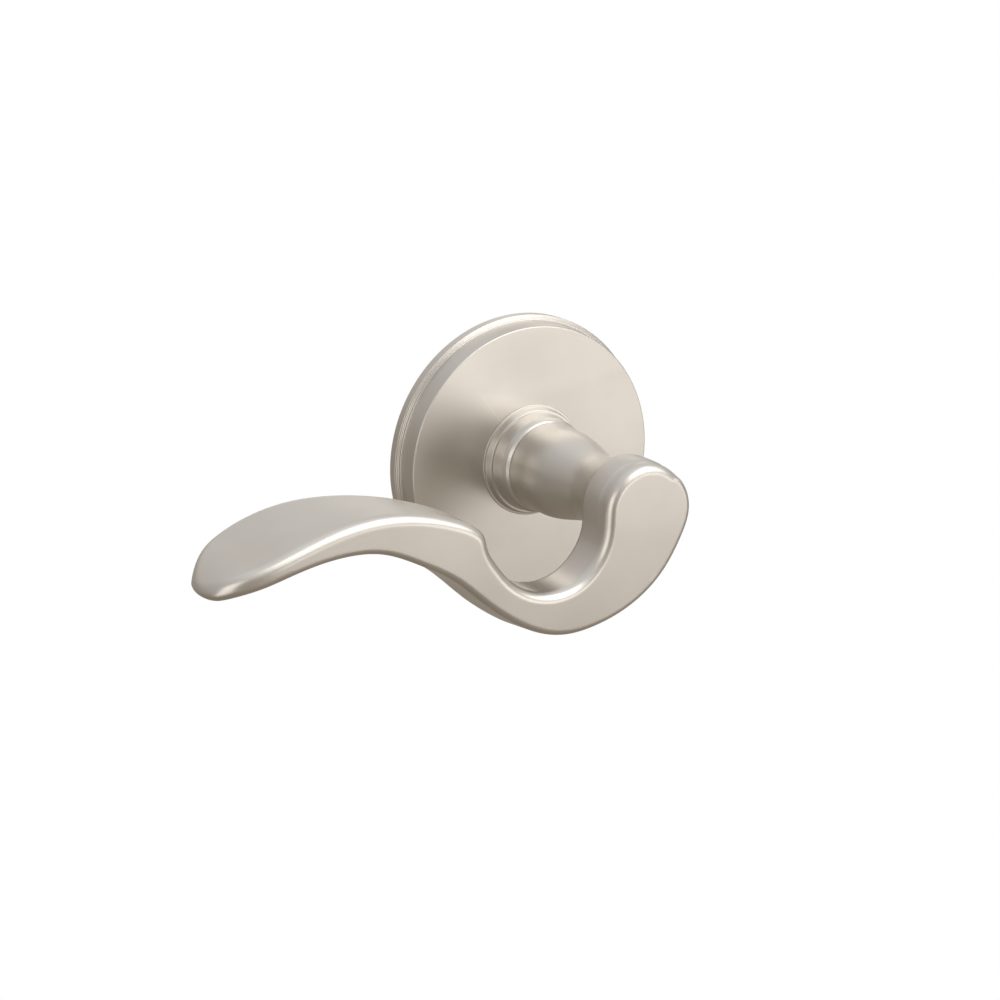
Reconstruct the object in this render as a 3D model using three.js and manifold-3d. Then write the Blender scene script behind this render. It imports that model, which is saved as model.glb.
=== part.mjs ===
// Sprung door lever handle on a round rose, as a three.js scene graph.
//
// Units are millimetres and +Z is up. The origin is on the door's face, on the spindle's axis.
// -Y points out of the door, towards the person who uses the handle, and the lever points to -X.
// Every size named "out" or "depth" is a distance out from the door's face, so y = -out.

import * as THREE from 'three';
import { mergeVertices } from 'three/addons/utils/BufferGeometryUtils.js';
import Module from 'manifold-3d';

const wasm = await Module();
wasm.setup();

// ---------------------------------------------------------------- driving dimensions

const GAP = 0.3;                  // clearance between pieces that meet

// Spindle and the lever's shank, which all the hub radii are built up from
const SPINDLE_SIDE = 8;           // square bar
const SPINDLE_REACH = 30;         // how far the bar goes into the door
const SPINDLE_SEAT = 22;          // how far out the bar goes inside the neck
const SHANK_WALL = 0.5;           // metal left between the square hole's corner and the ring's groove
const RING_GRIP = 1.2;            // how deep the retaining ring sits in its groove
const FLAT_DEPTH = 1.5;           // cut of each of the two flats that drive the drive plate
const JOURNAL_STEP = 0.5;         // the bearing journal is this much larger than the shank's tail
const BUSH_WALL = 1.0;
const COLLAR_WALL = 0.8;          // wall at the collar's top
const COLLAR_LEAN = 0.45;         // how much each of the collar's two steps narrows towards its top
const COLLAR_TREAD = 0.5;         // ledge between the two steps

// Return spring and the drive plate around it
const WIRE = 1.0;                 // spring wire diameter
const COIL_TURNS = 2;
const COIL_SPACE = 2.5;           // from the journal's surface to the middle of the wire
const TAB_THICKNESS = 0.6;        // upright tab on the drive plate, and the plate's rim under it
const LUG_THICKNESS = 0.9;        // stops inside the spring housing
const HOUSING_WALL = 1.0;
const STOP_WIDTH = 2.5;           // width of the tab and of the lug beside it
const TRAVEL = 45;                // degrees that the lever turns each way
const WING_HALF_ANGLE = 12;       // half the width of the drive plate's wing, in degrees
const STOP_ANGLE = 15;            // width of each end stop, in degrees

// Stack of flat pieces under the rose cover
const PLATE_THICKNESS = 1.2;
const DRIVE_THICKNESS = 0.8;
const FLANGE_THICKNESS = 0.5;
const COVER_WALL = 0.7;
const DISH = 0.9;                 // how far the cover's conical face sinks from its edge to the hub

// Rose cover
const ROSE_RADIUS = 31.8;
const RIM_ABOVE_PLATE = 0.8;      // straight outer wall, measured from the mounting plate's front
const BEAD_WIDTH = 0.6;           // rounded bead on top of that wall
const GROOVE_WIDTH = 0.6;         // groove between the bead and the raised face
const RISER_LEAN = 0.5;           // the raised face's side leans in by this much

// Steps of the hub above the cover
const COLLAR_LOWER_RISE = 2.7;    // height of the collar's lower step above the cover
const COLLAR_UPPER_RISE = 2.6;
const BEAD_HEIGHT = 1.7;          // rounded ring at the foot of the neck
const BEAD_EDGE = 0.35;           // straight part of the ring below its rounding

// Lever
const PROJECTION = 53.8;          // front face of the lever
const LEVER_THICKNESS = 10;       // depth of the head and of the bowl
const HEAD_RADIUS = 9.8;
const NECK_FOOT_RADIUS = 10.2;
const NECK_BODY_RADIUS = 9.8;
const NECK_WAIST_RADIUS = 7.45;
const CUSP_REACH = 38.7;          // from the axis to the point where the bowl meets the blade
const LEVER_REACH = 97.4;         // from the axis to the blade's tip
const BLADE_DEPTH = 23.6;         // widest part of the blade, from front to back

// Fasteners
const POST_RADIUS = 4;            // threaded sleeve that goes through the door
const POST_LENGTH = 14;
const POST_HEAD_RADIUS = 4.3;
const POST_NECK_RADIUS = 3;
const POST_THREAD_RADIUS = 1.65;
const POST_HEAD_THICKNESS = 0.7;
const SCREW_RADIUS = 1.25;
const SCREW_HEAD_RADIUS = 2.2;
const SCREW_SLOT = 0.6;
const EAR_WALL = 0.9;             // metal around a screw's head in its ear
const SCREW_ANGLES = [45, 135, 225, 315];
const SET_SCREW_RADIUS = 2.5;
const SET_SCREW_SOCKET = 2.5;     // across the flats of its hexagonal socket
const SET_SCREW_OUT = 18;         // its place along the neck
const SET_SCREW_SUNK = 0.6;       // how far it lies below the neck's surface
const CLIP_THICKNESS = 0.4;
const CLIP_WIDTH = 6;
const CLIP_EDGE = 0.5;            // strip left behind the rivet's head
const CLIP_ANGLES = [0, 113, 247];
const RIVET_RADIUS = 1.2;
const RIVET_HEAD_RADIUS = 1.9;
const RIVET_HEAD_HEIGHT = 0.7;
const WASHER_THICKNESS = 0.5;
const WASHER_WIDTH = 2.4;
const WAVE_HEIGHT = 0.15;
const RING_THICKNESS = 0.8;
const RING_WIDTH = 2.3;
const TAIL_END = 1.0;             // shank left behind the retaining ring's groove

// Flat sides of a full circle, on large and on small round shapes
const FINE = 48;
const COARSE = 16;
const NECK_STEPS = 12;            // steps along the neck's curved side

// ---------------------------------------------------------------- sizes that follow

// Hub radii, from the spindle outwards
const squareHole = SPINDLE_SIDE + 2 * GAP;
const grooveRadius = squareHole / Math.SQRT2 + SHANK_WALL;
const tailRadius = grooveRadius + RING_GRIP;
const flatOffset = tailRadius - FLAT_DEPTH;
const journalRadius = tailRadius + JOURNAL_STEP;
const bushInner = journalRadius + GAP;
const bushOuter = bushInner + BUSH_WALL;
const collarBore = bushOuter + GAP;
const collarMouth = collarBore + COLLAR_WALL;
const collarUpper = collarMouth + COLLAR_LEAN;
const collarLedge = collarUpper + COLLAR_TREAD;
const collarLower = collarLedge + COLLAR_LEAN;
const coilRadius = journalRadius + COIL_SPACE;
const tabInner = coilRadius + WIRE / 2 + GAP;
const tabOuter = tabInner + TAB_THICKNESS;
const lugInner = tabOuter + GAP;
const housingInner = lugInner + LUG_THICKNESS;
const housingOuter = housingInner + HOUSING_WALL;
const postOffset = housingOuter + GAP + POST_HEAD_RADIUS;
const earRadius = SCREW_HEAD_RADIUS + GAP + EAR_WALL;
const screwOffset = housingOuter + SCREW_HEAD_RADIUS + GAP;

// Levels, from the door outwards
const driveBack = PLATE_THICKNESS + GAP;
const driveFront = driveBack + DRIVE_THICKNESS;
const coilPitch = WIRE * 1.2;
const coilBack = driveFront + GAP + WIRE / 2;
const coilFront = coilBack + (COIL_TURNS - 1) * coilPitch;
const housingFront = coilFront + WIRE / 2;
const flangeBack = housingFront + GAP;
const flangeFront = flangeBack + FLANGE_THICKNESS;
const hubFace = flangeFront + GAP + COVER_WALL;
const faceDepth = hubFace + DISH;
const collarStep = hubFace + COLLAR_LOWER_RISE;
const collarTop = collarStep + COLLAR_UPPER_RISE;
const beadBack = collarTop + GAP;
const beadFront = beadBack + BEAD_HEIGHT;
const neckFoot = beadFront + GAP;
const headBack = PROJECTION - LEVER_THICKNESS;

// Levels, from the door inwards
const washerFront = -GAP;
const washerBack = washerFront - WASHER_THICKNESS;
const waveFront = washerBack - GAP;
const waveBack = waveFront - WASHER_THICKNESS - 2 * WAVE_HEIGHT;
const grooveFront = waveBack - GAP / 2;
const ringFront = grooveFront - GAP;
const ringBack = ringFront - RING_THICKNESS;
const grooveBack = ringBack - GAP;
const tailBack = grooveBack - TAIL_END;

// Rose cover radii
const grooveOuter = ROSE_RADIUS - BEAD_WIDTH;
const riserFoot = grooveOuter - GROOVE_WIDTH;
const faceRadius = riserFoot - RISER_LEAN;
const plateRadius = ROSE_RADIUS - COVER_WALL - GAP;
const rimHeight = PLATE_THICKNESS + RIM_ABOVE_PLATE;
const beadTop = rimHeight + BEAD_WIDTH;
const clipReach = faceRadius - COVER_WALL - GAP;
const rivetOffset = clipReach - 2 * CLIP_THICKNESS - GAP - RIVET_HEAD_RADIUS;

// ---------------------------------------------------------------- helpers

const radians = THREE.MathUtils.degToRad;

// A solid for cutting and joining, from a closed three.js geometry.
function solid(geometry) {
  const bare = geometry.clone();
  bare.deleteAttribute('normal');
  bare.deleteAttribute('uv');
  const merged = mergeVertices(bare, 1e-4);
  const vertProperties = new Float32Array(merged.attributes.position.array);
  const triVerts = new Uint32Array(merged.index.array);
  return new wasm.Manifold(new wasm.Mesh({ numProp: 3, vertProperties, triVerts }));
}

// The geometry of a cut or joined solid.
function geometryOf(body) {
  const mesh = body.getMesh();
  const geometry = new THREE.BufferGeometry();
  geometry.setAttribute('position', new THREE.BufferAttribute(mesh.vertProperties, 3));
  geometry.setIndex(new THREE.BufferAttribute(mesh.triVerts, 1));
  geometry.computeVertexNormals();
  return geometry;
}

// A closed outline of [radius, out] points turned round the spindle's axis.
function turned(outline, segments = FINE) {
  const points = outline.map(([radius, out]) => new THREE.Vector2(radius, out));
  if (THREE.ShapeUtils.area(points) < 0) points.reverse();
  points.push(points[0].clone());
  return new THREE.LatheGeometry(points, segments).rotateX(Math.PI);
}

// A plain ring, such as a washer or a bushing.
function tube(inner, outer, from, to) {
  return turned([[inner, from], [outer, from], [outer, to], [inner, to]]);
}

// A flat shape drawn in X and Z, made thick from one level to another out from the door.
function slab(shape, from, to, sides = COARSE) {
  const options = { depth: to - from, bevelEnabled: false, curveSegments: sides / 2 };
  return new THREE.ExtrudeGeometry(shape, options).rotateX(Math.PI / 2).translate(0, -from, 0);
}

// A block between two corners, each [x, out, z].
function block(low, high) {
  const size = high.map((value, axis) => value - low[axis]);
  const middle = high.map((value, axis) => (value + low[axis]) / 2);
  return new THREE.BoxGeometry(...size).translate(middle[0], -middle[1], middle[2]);
}

// A ring sector in X and Z, centred on an angle measured from +X towards +Z.
function sector(inner, outer, middle, halfAngle) {
  const start = radians(middle - halfAngle);
  const end = radians(middle + halfAngle);
  const shape = new THREE.Shape();
  shape.absarc(0, 0, outer, start, end, false);
  shape.absarc(0, 0, inner, end, start, true);
  shape.closePath();
  return shape;
}

function disc(x, z, radius) {
  return new THREE.Shape().absarc(x, z, radius, 0, 2 * Math.PI, false);
}

// Turns a geometry round the spindle's axis by an angle from +X towards +Z.
function swung(geometry, angle) {
  return geometry.rotateY(-radians(angle));
}

// A point on a circle round the spindle's axis, as [x, z].
function onCircle(radius, angle) {
  return [radius * Math.cos(radians(angle)), radius * Math.sin(radians(angle))];
}

function joined(...geometries) {
  return geometries.map(solid).reduce((whole, next) => whole.add(next));
}

function cut(body, ...geometries) {
  return geometries.map(solid).reduce((rest, next) => rest.subtract(next), body);
}

function sketch(points) {
  return new THREE.Shape(points.map(([x, z]) => new THREE.Vector2(x, z)));
}

function curve(shape, points) {
  shape.splineThru(points.map(([x, z]) => new THREE.Vector2(x, z)));
}

// ---------------------------------------------------------------- materials

function metal(color, roughness) {
  return new THREE.MeshStandardMaterial({ color, roughness, metalness: 1 });
}

function satinNickel() {
  return metal(0xcbc4bb, 0.34);
}

function zincCasting() {
  return metal(0x9a9c9e, 0.6);
}

function platedSteel() {
  return metal(0xb9bbb6, 0.45);
}

function springSteel() {
  return metal(0x6d7075, 0.38);
}

function blackSteel() {
  return metal(0x2c2d30, 0.5);
}

function nylon() {
  return new THREE.MeshStandardMaterial({ color: 0xe9e6dc, roughness: 0.55, metalness: 0 });
}

// ---------------------------------------------------------------- rose, fixed to the door

// The outline of the cover's outer surface, from the door's face round the rim to the hub.
function coverSkin() {
  const skin = [[ROSE_RADIUS, 0], [ROSE_RADIUS, rimHeight]];
  const beadSteps = 6;
  for (let step = 1; step <= beadSteps; step += 1) {
    const angle = (Math.PI / 2) * (step / beadSteps);
    skin.push([grooveOuter + BEAD_WIDTH * Math.cos(angle), rimHeight + BEAD_WIDTH * Math.sin(angle)]);
  }
  const grooveFloor = beadTop - BEAD_WIDTH / 2;
  skin.push([grooveOuter - GROOVE_WIDTH / 4, grooveFloor], [riserFoot, grooveFloor]);
  skin.push([riserFoot - RISER_LEAN / 2, (grooveFloor + faceDepth) / 2], [faceRadius, faceDepth]);
  skin.push([collarLower + GAP, hubFace]);
  return skin;
}

function roseCover() {
  const inside = [
    [collarLower + GAP, hubFace - COVER_WALL],
    [clipReach + GAP, faceDepth - COVER_WALL],
    [riserFoot - COVER_WALL, beadTop - BEAD_WIDTH / 2 - COVER_WALL],
    [plateRadius + GAP, beadTop - BEAD_WIDTH / 2 - COVER_WALL],
    [plateRadius + GAP, 0],
  ];
  return turned([...coverSkin(), ...inside]);
}

function ears(from, to) {
  return SCREW_ANGLES.map((angle) => {
    const [x, z] = onCircle(screwOffset, angle);
    return slab(disc(x, z, earRadius), from, to);
  });
}

// The room that the countersunk screws take, with their clearance.
function screwHoles() {
  return SCREW_ANGLES.map((angle) => {
    const [x, z] = onCircle(screwOffset, angle);
    const headRoom = SCREW_HEAD_RADIUS + GAP;
    const shankRoom = SCREW_RADIUS + GAP;
    const outline = [
      [0, -1],
      [shankRoom, -1],
      [shankRoom, flangeFront - SCREW_HEAD_RADIUS + SCREW_RADIUS - GAP],
      [headRoom, flangeFront - GAP],
      [headRoom, flangeFront + 1],
      [0, flangeFront + 1],
    ];
    return turned(outline, COARSE).translate(x, 0, z);
  });
}

// Fixed ring that the neck turns in, with the flange that closes the spring housing.
function roseCollar() {
  const outline = [
    [collarBore, flangeBack],
    [housingOuter, flangeBack],
    [housingOuter, flangeFront],
    [collarLower, flangeFront],
    [collarLower, hubFace],
    [collarLedge, collarStep],
    [collarUpper, collarStep],
    [collarMouth, collarTop],
    [collarBore, collarTop],
  ];
  const drum = solid(turned([[0, 0], [collarBore, 0], [collarBore, collarTop + 1], [0, collarTop + 1]]));
  const body = joined(turned(outline), ...ears(flangeBack, flangeFront)).subtract(drum);
  return cut(body, ...screwHoles());
}

// Steel disc that lies on the door and carries every fixed piece.
function mountingPlate() {
  const shape = disc(0, 0, plateRadius);
  shape.holes.push(disc(0, 0, tailRadius + GAP));
  for (const side of [1, -1]) shape.holes.push(disc(0, side * postOffset, POST_NECK_RADIUS + GAP));
  for (const angle of SCREW_ANGLES) {
    shape.holes.push(disc(...onCircle(screwOffset, angle), SCREW_RADIUS + GAP));
  }
  for (const angle of CLIP_ANGLES) {
    shape.holes.push(disc(...onCircle(rivetOffset, angle), RIVET_RADIUS + GAP));
  }
  return slab(shape, 0, PLATE_THICKNESS, 24);
}

// Cast ring round the return spring, with the spring's fixed lug and the two end stops.
function springHousing() {
  const wall = disc(0, 0, housingOuter);
  const up = 90;
  const clearAngle = THREE.MathUtils.radToDeg(GAP / lugInner);
  const stopMiddle = TRAVEL + WING_HALF_ANGLE + clearAngle + STOP_ANGLE / 2;
  const overlap = HOUSING_WALL / 2;
  const lugHalf = STOP_WIDTH / 2;
  const round = slab(wall, driveBack, housingFront, FINE);
  const hollow = slab(disc(0, 0, housingInner), driveBack - 1, housingFront + 1, FINE);
  const shell = cut(joined(round, ...ears(driveBack, housingFront)), hollow);
  const stops = [1, -1].map((side) => {
    const shape = sector(lugInner, housingInner + overlap, up + side * stopMiddle, STOP_ANGLE / 2);
    return slab(shape, driveBack, driveFront);
  });
  const lug = block(
    [-lugHalf, driveFront + GAP, -housingInner - overlap],
    [lugHalf, housingFront, -lugInner],
  );
  return cut(shell.add(joined(...stops, lug)), ...screwHoles());
}

function neckBushing() {
  return tube(bushInner, bushOuter, flangeBack, collarTop);
}

// Internally threaded sleeve: the through-bolts from the other side of the door end in it.
function post(side) {
  const outline = [
    [POST_THREAD_RADIUS, -POST_LENGTH],
    [POST_RADIUS - GAP, -POST_LENGTH],
    [POST_RADIUS, GAP - POST_LENGTH],
    [POST_RADIUS, -GAP],
    [POST_NECK_RADIUS, -GAP],
    [POST_NECK_RADIUS, driveBack],
    [POST_HEAD_RADIUS, driveBack],
    [POST_HEAD_RADIUS, driveBack + POST_HEAD_THICKNESS / 2],
    [POST_HEAD_RADIUS - POST_HEAD_THICKNESS / 2, driveBack + POST_HEAD_THICKNESS],
    [0, driveBack + POST_HEAD_THICKNESS],
    [0, 0],
    [POST_THREAD_RADIUS, -GAP],
  ];
  return turned(outline, COARSE).translate(0, 0, side * postOffset);
}

// Countersunk screw that holds the collar and the housing on the mounting plate.
function collarScrew(angle) {
  const [x, z] = onCircle(screwOffset, angle);
  const outline = [
    [0, GAP],
    [SCREW_RADIUS, GAP],
    [SCREW_RADIUS, flangeFront - SCREW_HEAD_RADIUS + SCREW_RADIUS],
    [SCREW_HEAD_RADIUS, flangeFront],
    [0, flangeFront],
  ];
  const half = SCREW_SLOT / 2;
  const slot = block(
    [-SCREW_HEAD_RADIUS, flangeFront - SCREW_SLOT, -half],
    [SCREW_HEAD_RADIUS, flangeFront + 1, half],
  );
  const screw = cut(solid(turned(outline, COARSE)), swung(slot, angle));
  return geometryOf(screw).translate(x, 0, z);
}

// Bent strip that presses outwards inside the cover's raised face.
function coverClip(angle) {
  const foot = rivetOffset - RIVET_HEAD_RADIUS - CLIP_EDGE;
  const top = faceDepth - COVER_WALL - DISH;
  const bulge = (driveBack + top) / 2;
  const strip = sketch([
    [foot, driveBack],
    [clipReach - CLIP_THICKNESS, driveBack],
    [clipReach, bulge],
    [clipReach - 2 * CLIP_THICKNESS, top],
    [clipReach - 3 * CLIP_THICKNESS, top],
    [clipReach - CLIP_THICKNESS, bulge],
    [clipReach - 2 * CLIP_THICKNESS, driveBack + CLIP_THICKNESS],
    [foot, driveBack + CLIP_THICKNESS],
  ]);
  const options = { depth: CLIP_WIDTH, bevelEnabled: false };
  const bent = new THREE.ExtrudeGeometry(strip, options).translate(0, 0, -CLIP_WIDTH / 2).rotateX(Math.PI);
  const hole = slab(disc(rivetOffset, 0, RIVET_RADIUS + GAP), 0, bulge);
  return swung(geometryOf(cut(solid(bent), hole)), angle);
}

function clipRivet(angle) {
  const [x, z] = onCircle(rivetOffset, angle);
  const headBase = driveBack + CLIP_THICKNESS + GAP;
  const outline = [[0, GAP], [RIVET_RADIUS, GAP], [RIVET_RADIUS, headBase], [RIVET_HEAD_RADIUS, headBase]];
  const domeSteps = 4;
  for (let step = 1; step <= domeSteps; step += 1) {
    const turn = (Math.PI / 2) * (step / domeSteps);
    outline.push([RIVET_HEAD_RADIUS * Math.cos(turn), headBase + RIVET_HEAD_HEIGHT * Math.sin(turn)]);
  }
  return turned(outline, COARSE).translate(x, 0, z);
}

// ---------------------------------------------------------------- lever and what turns with it

// The lever seen from the front, in X and Z: head, bowl and blade.
function leverFront() {
  const blade = (share) => -CUSP_REACH - share * (LEVER_REACH - CUSP_REACH);
  const shape = new THREE.Shape();
  const headStart = radians(180);
  const headEnd = radians(50);
  shape.absarc(0, 0, HEAD_RADIUS, headStart, headEnd, true);
  curve(shape, [[8.7, 5.2], [10.5, 1.2], [10.6, -1.3], [8.6, -7.1], [3.8, -14.3], [-3.4, -19.8]]);
  curve(shape, [[-12.5, -23], [-20.2, -23.5], [-26.2, -21.9], [-32.2, -18.6], [-CUSP_REACH, -13.6]]);
  curve(shape, [
    [blade(0.12), -7.3], [blade(0.245), -2.9], [blade(0.385), 0.4], [blade(0.54), 0.9],
    [blade(0.68), -0.5], [blade(0.825), -3], [blade(0.93), -4.5], [blade(0.98), -4.6],
  ]);
  curve(shape, [
    [blade(1), -3.6], [blade(0.985), -2.6], [blade(0.945), -1], [blade(0.825), 1.7], [blade(0.68), 4.6],
    [blade(0.54), 6.9], [blade(0.385), 7.9], [blade(0.245), 7.1], [blade(0.1), 4.6], [blade(0.01), 1.6],
  ]);
  curve(shape, [[0.4 - CUSP_REACH, 0.2], [-36.4, -4.2], [-32.2, -10], [-27.5, -13], [-22.2, -14.1]]);
  curve(shape, [[-17.2, -13.1], [-13, -9.9], [-10.8, -6.4], [-HEAD_RADIUS - 0.15, -2.8], [-HEAD_RADIUS, 0]]);
  shape.closePath();
  return shape;
}

// The lever seen from above, in X and Y.
function leverTop() {
  const blade = (share) => -CUSP_REACH - share * (LEVER_REACH - CUSP_REACH);
  const behind = (share) => BLADE_DEPTH * share - PROJECTION;
  const end = 2 * HEAD_RADIUS;
  const shape = new THREE.Shape();
  shape.moveTo(end, -headBack);
  shape.lineTo(end, -PROJECTION);
  shape.lineTo(blade(0.72), -PROJECTION);
  curve(shape, [
    [blade(0.86), behind(0.03)], [blade(0.95), behind(0.13)], [blade(1), behind(0.38)],
    [blade(0.95), behind(0.69)], [blade(0.87), behind(0.89)], [blade(0.72), behind(1)],
    [blade(0.57), behind(0.93)], [blade(0.41), behind(0.76)], [blade(0.245), behind(0.61)],
    [blade(0.1), behind(0.5)],
  ]);
  curve(shape, [[4 - CUSP_REACH, -headBack]]);
  shape.closePath();
  return shape;
}

// The neck and the shank behind it, turned in one piece with the lever's head.
function neck() {
  const along = (share) => neckFoot + (headBack - neckFoot) * share;
  const neckTopRadius = HEAD_RADIUS - GAP;
  const headMiddle = headBack + LEVER_THICKNESS / 2;
  const outline = [
    [0, tailBack],
    [tailRadius, tailBack],
    [tailRadius, grooveBack],
    [grooveRadius, grooveBack],
    [grooveRadius, grooveFront],
    [tailRadius, grooveFront],
    [tailRadius, flangeBack],
    [journalRadius, flangeBack],
    [journalRadius, neckFoot],
  ];
  const side = new THREE.SplineCurve([
    new THREE.Vector2(NECK_FOOT_RADIUS, along(0)),
    new THREE.Vector2(NECK_BODY_RADIUS, along(0.1)),
    new THREE.Vector2(NECK_BODY_RADIUS, along(0.2)),
    new THREE.Vector2((NECK_BODY_RADIUS + NECK_WAIST_RADIUS) / 2, along(0.45)),
    new THREE.Vector2(NECK_WAIST_RADIUS, along(0.7)),
    new THREE.Vector2(neckTopRadius, headBack),
  ]);
  for (const point of side.getPoints(NECK_STEPS)) outline.push([point.x, point.y]);
  outline.push([neckTopRadius, headMiddle], [0, headMiddle]);
  return turned(outline);
}

function leverHandle() {
  const deepest = PROJECTION - BLADE_DEPTH - 1;
  const seenFromFront = solid(slab(leverFront(), deepest, PROJECTION + 1, 8));
  const lowest = -3 * HEAD_RADIUS;
  const options = { depth: HEAD_RADIUS - lowest, bevelEnabled: false, curveSegments: 4 };
  const seenFromAbove = solid(new THREE.ExtrudeGeometry(leverTop(), options).translate(0, 0, lowest));
  const body = seenFromFront.intersect(seenFromAbove).add(solid(neck()));
  const half = squareHole / 2;
  const socket = block([-half, tailBack - 1, -half], [half, SPINDLE_SEAT + GAP, half]);
  const flats = [1, -1].map((side) => block(
    [side > 0 ? flatOffset : -2 * tailRadius, tailBack - 1, -tailRadius - 1],
    [side > 0 ? 2 * tailRadius : -flatOffset, flangeBack - GAP, tailRadius + 1],
  ));
  const screwHole = new THREE.CylinderGeometry(
    SET_SCREW_RADIUS + GAP, SET_SCREW_RADIUS + GAP, 2 * NECK_FOOT_RADIUS, COARSE,
  ).rotateX(Math.PI / 2).translate(0, -SET_SCREW_OUT, -NECK_FOOT_RADIUS - half / 2);
  return geometryOf(cut(body, socket, ...flats, screwHole));
}

// Ring pressed on the neck's foot, rounded towards the neck. It hides the bushing's end.
function neckBead() {
  const outline = [[bushInner, beadFront], [bushInner, beadBack], [collarMouth, beadBack]];
  const roundBack = beadBack + BEAD_EDGE;
  const steps = 6;
  for (let step = 0; step <= steps; step += 1) {
    const angle = (Math.PI / 2) * (step / steps);
    const radius = bushOuter + (collarMouth - bushOuter) * Math.cos(angle);
    outline.push([radius, roundBack + (beadFront - roundBack) * Math.sin(angle)]);
  }
  return turned(outline);
}

function spindle() {
  const half = SPINDLE_SIDE / 2;
  return block([-half, -SPINDLE_REACH, -half], [half, SPINDLE_SEAT, half]);
}

// Plate on the shank's two flats. Its upright tab winds the spring, its wing meets the end stops.
function drivePlate() {
  const flat = flatOffset + GAP;
  const bore = tailRadius + GAP;
  const side = Math.acos(flat / bore);
  const shape = disc(0, 0, tabOuter);
  const hole = new THREE.Path();
  hole.absarc(0, 0, bore, side, Math.PI - side, false);
  hole.absarc(0, 0, bore, Math.PI + side, 2 * Math.PI - side, false);
  hole.closePath();
  shape.holes.push(hole);
  const wing = sector(tabOuter - TAB_THICKNESS, housingInner - GAP, 90, WING_HALF_ANGLE);
  const half = STOP_WIDTH / 2;
  const tab = block([-half, driveBack, -tabOuter + GAP], [half, housingFront, -tabInner]);
  return geometryOf(joined(
    slab(shape, driveBack, driveFront, 32),
    slab(wing, driveBack, driveFront),
    tab,
  ));
}

// Torsion spring: its two legs stand one each side of the tab and the lug.
function returnSpring() {
  const legSide = STOP_WIDTH / 2 + GAP + WIRE / 2;
  const legAngle = Math.asin(legSide / coilRadius);
  const down = -Math.PI / 2;
  const sweep = 2 * Math.PI * (COIL_TURNS - 1) + 2 * (Math.PI - legAngle);
  const points = [];
  const legEnd = housingInner - GAP - WIRE / 2;
  const steps = 16 * COIL_TURNS;
  points.push(new THREE.Vector3(legSide, -coilBack, -legEnd));
  points.push(new THREE.Vector3(legSide, -coilBack, -(legEnd + coilRadius) / 2));
  for (let step = 0; step <= steps; step += 1) {
    const share = step / steps;
    const angle = down + legAngle + sweep * share;
    const out = coilBack + (coilFront - coilBack) * share;
    points.push(new THREE.Vector3(coilRadius * Math.cos(angle), -out, coilRadius * Math.sin(angle)));
  }
  points.push(new THREE.Vector3(-legSide, -coilFront, -(legEnd + coilRadius) / 2));
  points.push(new THREE.Vector3(-legSide, -coilFront, -legEnd));
  const path = new THREE.CatmullRomCurve3(points, false, 'centripetal');
  const section = sketch(Array.from({ length: 8 }, (_, index) => {
    const angle = (index / 8) * 2 * Math.PI;
    return [Math.cos(angle) * WIRE / 2, Math.sin(angle) * WIRE / 2];
  }));
  const options = { steps: 40 * COIL_TURNS, extrudePath: path, bevelEnabled: false };
  return new THREE.ExtrudeGeometry(section, options);
}

function thrustWasher() {
  const inner = tailRadius + GAP;
  const outer = inner + WASHER_WIDTH;
  return tube(inner, outer, washerBack, washerFront);
}

// Spring washer with three waves round its ring.
function waveWasher() {
  const inner = tailRadius + GAP;
  const outer = inner + WASHER_WIDTH;
  const back = waveBack + WAVE_HEIGHT;
  const front = back + WASHER_THICKNESS;
  const geometry = tube(inner, outer, back, front);
  const place = geometry.attributes.position;
  for (let index = 0; index < place.count; index += 1) {
    const angle = Math.atan2(place.getZ(index), place.getX(index));
    place.setY(index, place.getY(index) + WAVE_HEIGHT * Math.sin(3 * angle));
  }
  return geometry;
}

// Open ring that keeps the shank from pulling out of the rose.
function retainingRing() {
  const inner = grooveRadius + GAP;
  const opening = 28;
  const shape = sector(inner, inner + RING_WIDTH, 90, 180 - opening / 2);
  return slab(shape, ringBack, ringFront, 32);
}

function setScrew() {
  const bottom = -NECK_BODY_RADIUS + SET_SCREW_SUNK;
  const top = -SPINDLE_SIDE / 2 - GAP;
  const socketDepth = 2;
  const hexRadius = SET_SCREW_SOCKET / Math.sqrt(3);
  const body = new THREE.CylinderGeometry(SET_SCREW_RADIUS, SET_SCREW_RADIUS, top - bottom, COARSE);
  const socket = new THREE.CylinderGeometry(hexRadius, hexRadius, 2 * socketDepth, 6);
  body.rotateX(Math.PI / 2).translate(0, -SET_SCREW_OUT, (top + bottom) / 2);
  socket.rotateX(Math.PI / 2).translate(0, -SET_SCREW_OUT, bottom);
  return geometryOf(cut(solid(body), socket));
}

// ---------------------------------------------------------------- the assembly

function named(name, shape, material) {
  const mesh = new THREE.Mesh(shape.isBufferGeometry ? shape : geometryOf(shape), material);
  mesh.name = name;
  return mesh;
}

const rose = new THREE.Group();
rose.add(
  named('rose_cover', roseCover(), satinNickel()),
  named('rose_collar', roseCollar(), satinNickel()),
  named('mounting_plate', mountingPlate(), platedSteel()),
  named('spring_housing', springHousing(), zincCasting()),
  named('neck_bushing', neckBushing(), nylon()),
  named('post_upper', post(1), platedSteel()),
  named('post_lower', post(-1), platedSteel()),
);
SCREW_ANGLES.forEach((angle, index) => {
  rose.add(named(`collar_screw_${index + 1}`, collarScrew(angle), blackSteel()));
});
CLIP_ANGLES.forEach((angle, index) => {
  rose.add(named(`cover_clip_${index + 1}`, coverClip(angle), springSteel()));
  rose.add(named(`clip_rivet_${index + 1}`, clipRivet(angle), zincCasting()));
});

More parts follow.
